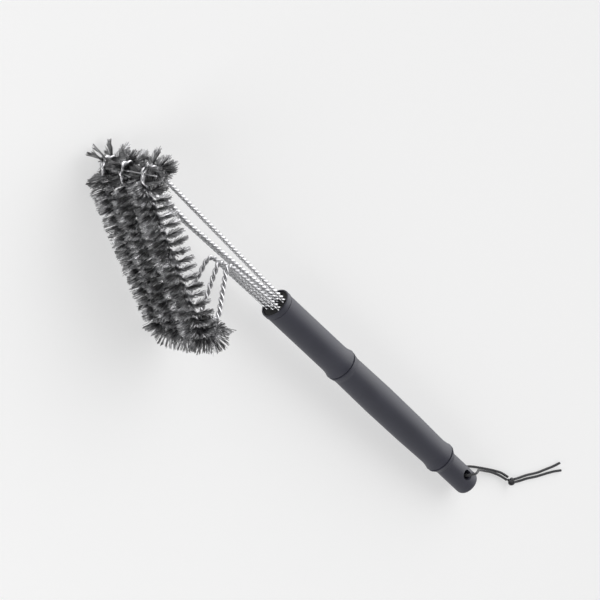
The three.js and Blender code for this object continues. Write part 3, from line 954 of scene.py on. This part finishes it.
class BRUSH_OT_plug(bpy.types.Operator):
    """Makes the black plug with six bored seats for the wires"""

    bl_idname = "brush.plug"
    bl_label = "Plug"

    def execute(self, context):
        handle, loops = context.scene.brush_handle, context.scene.brush_loops
        radius = handle.cavity_radius - 0.3 * MM
        face = -handle.plug_recess
        edge = 0.4 * MM
        outline = [
            (face - handle.plug_length, 1 * MM),
            (face - handle.plug_length, radius),
            (face - edge, radius),
            (face - 0.3 * edge, radius - 0.3 * edge),
            (face, radius - edge),
            (face, radius - 1.2 * MM),
            (face - 0.2 * MM, radius - 1.35 * MM),
            (face - 0.2 * MM, 1 * MM),
        ]
        piece = turned("plug", outline, 96)
        cut(piece, self.bores(loops))
        smooth(piece, 32)
        lay_down(piece, lay_matrix(handle.length))
        material = plastic_material("Plug plastic", handle.plug_colour, 0.55, 1800, 0.25)
        finish_piece(piece, "plug_bored", material, ["wire_plug"])
        return {"FINISHED"}

    def bores(self, loops):
        """One straight bore for each of the six wires."""
        made = []
        depth = loops.wire_depth + 0.3 * MM
        for place in (-1, 0, 1):
            for row in (-loops.row_height, loops.row_height):
                clear_selection()
                bpy.ops.mesh.primitive_cylinder_add(
                    vertices=32,
                    radius=loops.strand_diameter + 0.1 * MM,
                    depth=2 * depth,
                    location=(0, row, place * loops.mouth_spacing),
                    rotation=(0, math.pi / 2, 0),
                )
                bore = bpy.context.object
                bpy.ops.object.transform_apply(location=True, rotation=True, scale=True)
                made.append(bore)
        return made


# ---- Wires ----

# The strands are drawn a hair thinner than they are, so that the two of a loop touch without overlapping.
STRAND_FIT = 0.995


class BRUSH_OT_wires(bpy.types.Operator):
    """Twists the two strands of each loop"""

    bl_idname = "brush.wires"
    bl_label = "Twisted wires"

    def execute(self, context):
        loops, handle = context.scene.brush_loops, context.scene.brush_handle
        material = wire_material("Bright wire", loops.colour, 0.26, 90)
        for name, twist in twists(loops).items():
            offset = loops.strand_diameter / 2
            strands = [twist.strand(half_turn, offset, 2) for half_turn in (0, math.pi)]
            piece = wire_mesh("twist_" + name, strands, offset * STRAND_FIT, 3)
            lay_down(piece, lay_matrix(handle.length))
            finish_piece(piece, f"twist_{name}_strands", material, ["twisted_wire_" + name])
        return {"FINISHED"}


class BRUSH_OT_cross_wire(bpy.types.Operator):
    """Threads the thin cross wire through the three hairpins"""

    bl_idname = "brush.cross_wire"
    bl_label = "Cross wire"

    def execute(self, context):
        loops, handle = context.scene.brush_loops, context.scene.brush_handle
        inner = loops.hairpin_radius - loops.strand_diameter - loops.cross_radius - 0.6 * MM
        across, up = inner * math.cos(loops.cross_angle), inner * math.sin(loops.cross_angle)
        seats = []
        for shape in LOOPS.values():
            bend_x = loops.tip + shape["reach"] - loops.hairpin_radius
            bend_y = loops.hairpin_radius - loops.row_height
            seats.append(np.array((bend_x + across, bend_y + up, shape["lean"] * loops.tip_spacing)))
        right, middle, left = seats
        line = [
            right + unit(right - middle) * loops.cross_end_right,
            right,
            middle,
            left,
            left + unit(left - middle) * loops.cross_end_left,
        ]
        piece = wire_mesh("cross", [smooth_line(line, 0.001)], loops.cross_radius, 4)
        lay_down(piece, lay_matrix(handle.length))
        material = wire_material("Cross wire steel", loops.colour, 0.25, 60)
        finish_piece(piece, "cross_wire_drawn", material, ["cross_wire"])
        return {"FINISHED"}


# ---- Bristles ----

# From this far before each hairpin to this far after it only a share of the tufts is left, and they lean more.
BARE_BEFORE, BARE_AFTER = 0.002, 0.006
BARE_SHARE = 0.2
BARE_WILDNESS = 3
# Round the middle of the turn the bristles are longer by this much, over this much of the wire.
TURN_EXTRA, TURN_WIDTH = 0.0014, 0.012
# The rows' lean and length change slowly along the wire, in steps of the first of these lengths, and their
# slant and tone in steps of the second.
LEAN_EVERY, SLANT_EVERY = 0.003, 0.004
# The share of bristles that stray out of their clump.
STRAY_SHARE = 0.008
# A bristle that is shortened to fit the box keeps at least this share of its length.
SHORTEST_SHARE = 0.2


class BRUSH_OT_bristles(bpy.types.Operator):
    """Fills each loop with bristles, held in a double helix between the two strands"""

    bl_idname = "brush.bristles"
    bl_label = "Bristles"

    def execute(self, context):
        loops, bristles = context.scene.brush_loops, context.scene.brush_bristles
        lay = np.array(lay_matrix(context.scene.brush_handle.length))
        material = bristle_material(bristles.colour)
        shape, faces = self.one_bristle()
        for number, (name, twist) in enumerate(twists(loops).items()):
            rng = np.random.default_rng(bristles.seed + number)
            roots, bends, tips, tones = self.scatter(twist, bristles, rng)
            roots, bends, tips = (points @ lay[:3, :3].T + lay[:3, 3] for points in (roots, bends, tips))
            tips, bends = self.kept_inside(roots, bends, tips)
            piece = self.fill(name, shape, faces, (roots, bends, tips), tones, bristles)
            finish_piece(piece, f"bristle_{name}_wires", material, ["bristles_" + name])
        return {"FINISHED"}

    def one_bristle(self):
        """One three-sided bristle, one long and one thick: its vertices, and its faces."""
        clear_selection()
        bpy.ops.mesh.primitive_cylinder_add(
            vertices=3, radius=0.5, depth=1, end_fill_type="NGON", location=(0, 0, 0.5)
        )
        piece = bpy.context.object
        bpy.ops.object.transform_apply(location=True, rotation=True, scale=True)
        edit(piece)
        bpy.ops.mesh.select_all(action="SELECT")
        bpy.ops.mesh.bisect(plane_co=(0, 0, 0.5), plane_no=(0, 0, 1))
        bpy.ops.object.mode_set(mode="OBJECT")
        shape = np.array([vertex.co for vertex in piece.data.vertices])
        faces = [list(face.vertices) for face in piece.data.polygons]
        bpy.data.objects.remove(piece)
        return shape, faces

    def scatter(self, twist, bristles, rng):
        """Roots, bends and tips of one loop's bristles in the brush's axes, and a tone for each."""
        start = twist.marks[3] - bristles.stem_length
        end = twist.turn_end + bristles.leg_length
        places = np.arange(start, end, bristles.tuft_step)
        tufts = np.repeat(places, 2) + rng.normal(0, 0.3 * bristles.tuft_step, 2 * len(places))
        side = np.tile((1, -1), len(places))
        bare = (tufts > twist.marks[3] - BARE_BEFORE) & (tufts < twist.marks[4] + BARE_AFTER)
        kept = ~bare | (rng.random(len(tufts)) < BARE_SHARE)
        tufts, side, bare = tufts[kept], side[kept], bare[kept]
        wild = 1 + BARE_WILDNESS * bare

        def wander(amount, every):
            """A random value that changes slowly along each of the two rows of tufts."""
            knots = np.arange(start - 0.01, end + 0.01, every)
            rows = [np.interp(tufts, knots, rng.normal(0, amount, len(knots))) for _ in range(2)]
            return np.where(side > 0, *rows)

        def each(amount):
            """A random value for each tuft."""
            return rng.normal(0, amount, len(tufts))

        lean = (wander(bristles.wander, LEAN_EVERY) + each(0.6 * bristles.spread)) * wild
        slant = (wander(0.6 * bristles.wander, SLANT_EVERY) + each(0.7 * bristles.tilt)) * wild
        longer = wander(0.0006, LEAN_EVERY) + each(0.0005)
        longer += TURN_EXTRA * np.exp(-(((tufts - twist.marks[5]) / TURN_WIDTH) ** 2))
        tone = wander(0.12, SLANT_EVERY) + each(0.12)

        clump = np.repeat(np.arange(len(tufts)), bristles.clump_count)
        count = len(clump)
        clump_place = tufts[clump] + rng.normal(0, 0.4 * bristles.tuft_step, count)
        clump_turn = (side * math.pi / 2 + lean)[clump] + rng.normal(0, bristles.spread, count)
        clump_tilt = slant[clump] + rng.normal(0, bristles.tilt, count)
        clump_reach = bristles.reach + longer[clump] + rng.normal(0, 0.0006, count)
        clump_tone = 0.5 + tone[clump] + rng.normal(0, 0.22, count)

        owner = np.repeat(np.arange(count), bristles.clump_size)
        total = len(owner)
        along = clump_place[owner] + rng.normal(0, 0.00015, total)
        index = np.clip(np.searchsorted(twist.along, along), 0, len(twist.along) - 1)
        angle = twist.angle[index] + clump_turn[owner] + rng.normal(0, bristles.looseness, total)
        tilt = clump_tilt[owner] + rng.normal(0, bristles.looseness, total)
        forward = twist.forward[index]
        out = twist.direction(index, angle) * np.cos(tilt)[:, None] + forward * np.sin(tilt)[:, None]
        sideways = np.cross(out, forward)
        length = clump_reach[owner] + rng.normal(0, 0.00035, total)
        stray = rng.random(total) < STRAY_SHARE
        length = np.where(stray, length + 0.001, length)
        roots = twist.points[index] + sideways * rng.normal(0, 0.00025, (total, 1)) + out * 0.0006
        curl = rng.normal(0, 0.00012, (total, 2)) + rng.normal(0, 0.0003, (count, 2))[owner]
        curl *= 1 + 5 * stray[:, None]
        bends = roots + out * (length * 0.55)[:, None] + sideways * curl[:, :1] + forward * curl[:, 1:]
        tips = roots + out * length[:, None] - sideways * curl[:, :1] - forward * curl[:, 1:]
        tones = np.clip(clump_tone[owner] + rng.normal(0, 0.1, total), 0, 1)
        return roots, bends, tips, tones

    def kept_inside(self, roots, bends, tips):
        """Shortens the bristles that would pass through the table or out of the frame's box."""
        low, high = np.array(CAD_LOW) + 0.1 * MM, np.array(CAD_HIGH) - 0.1 * MM
        share = np.ones(len(tips))
        for axis in range(3):
            run = tips[:, axis] - roots[:, axis]
            limit = np.where(run > 0, high[axis], low[axis]) - roots[:, axis]
            share = np.minimum(share, np.where(np.abs(run) > 1e-9, limit / np.where(run == 0, 1, run), 1))
        share = np.clip(share, SHORTEST_SHARE, 1)[:, None]
        return roots + (tips - roots) * share, roots + (bends - roots) * share

    def fill(self, name, shape, faces, lines, tones, bristles):
        """All bristles of one loop as one mesh of copies of the one bristle."""
        roots, bends, tips = lines
        total = len(roots)
        middle = np.isclose(shape[:, 2], 0.5)
        top = shape[:, 2] > 0.75
        base = np.where(top[:, None, None], tips, np.where(middle[:, None, None], bends, roots))
        out = tips - roots
        out /= np.linalg.norm(out, axis=1)[:, None]
        first = np.cross(out, (0.31, 0.83, 0.46))
        first /= np.linalg.norm(first, axis=1)[:, None]
        second = np.cross(out, first)
        thick = bristles.diameter * shape[:, :2]
        points = base + thick[:, :1, None] * first + thick[:, 1:, None] * second
        points = points.transpose(1, 0, 2).reshape(-1, 3)
        offsets = (np.arange(total) * len(shape))[:, None]
        loops = np.concatenate([face for face in faces])
        sizes = np.array([len(face) for face in faces])
        mesh = bpy.data.meshes.new("bristles")
        mesh.vertices.add(len(points))
        mesh.vertices.foreach_set("co", points.ravel())
        all_loops = (offsets + loops).ravel()
        mesh.loops.add(len(all_loops))
        mesh.loops.foreach_set("vertex_index", all_loops)
        all_sizes = np.tile(sizes, total)
        mesh.polygons.add(len(all_sizes))
        mesh.polygons.foreach_set("loop_start", np.concatenate([[0], np.cumsum(all_sizes)[:-1]]))
        tone = mesh.attributes.new("tone", "FLOAT", "POINT")
        tone.data.foreach_set("value", np.repeat(tones, len(shape)).astype(np.float32))
        mesh.update(calc_edges=True)
        mesh.validate()
        piece = bpy.data.objects.new("bristle_" + name, mesh)
        bpy.context.scene.collection.objects.link(piece)
        return piece


# ---- Add-on ----


class BRUSH_PT_panel(bpy.types.Panel):
    """Lists the brush's sizes and its building steps"""

    bl_idname = "BRUSH_PT_panel"
    bl_label = "Grill Brush"
    bl_space_type = "VIEW_3D"
    bl_region_type = "UI"
    bl_category = "Grill Brush"

    def draw(self, context):
        for owner, operators in STEPS:
            box = self.layout.box()
            settings = getattr(context.scene, owner)
            for key in settings.bl_rna.properties.keys():
                if key not in ("rna_type", "name"):
                    box.prop(settings, key)
            for operator in operators:
                box.operator(operator)


SETTINGS = {
    "brush_stage": StageSettings,
    "brush_lanyard": LanyardSettings,
    "brush_handle": HandleSettings,
    "brush_loops": LoopSettings,
    "brush_bristles": BristleSettings,
}
STEPS = [
    ("brush_stage", ["brush.stage"]),
    ("brush_lanyard", ["brush.lanyard"]),
    ("brush_handle", ["brush.handle", "brush.plug"]),
    ("brush_loops", ["brush.wires", "brush.cross_wire"]),
    ("brush_bristles", ["brush.bristles"]),
]
OPERATORS = (
    BRUSH_OT_stage,
    BRUSH_OT_lanyard,
    BRUSH_OT_handle,
    BRUSH_OT_plug,
    BRUSH_OT_wires,
    BRUSH_OT_cross_wire,
    BRUSH_OT_bristles,
)


def register():
    for made in (*SETTINGS.values(), *OPERATORS, BRUSH_PT_panel):
        bpy.utils.register_class(made)
    for owner, made in SETTINGS.items():
        setattr(bpy.types.Scene, owner, PointerProperty(type=made))


def unregister():
    for owner in SETTINGS:
        delattr(bpy.types.Scene, owner)
    for made in (BRUSH_PT_panel, *reversed(OPERATORS), *SETTINGS.values()):
        bpy.utils.unregister_class(made)


def main():
    register()
    for _, operators in STEPS:
        for operator in operators:
            group, name = operator.split(".")
            getattr(getattr(bpy.ops, group), name)()
    bpy.context.view_layer.update()


if __name__ == "__main__":
    main()
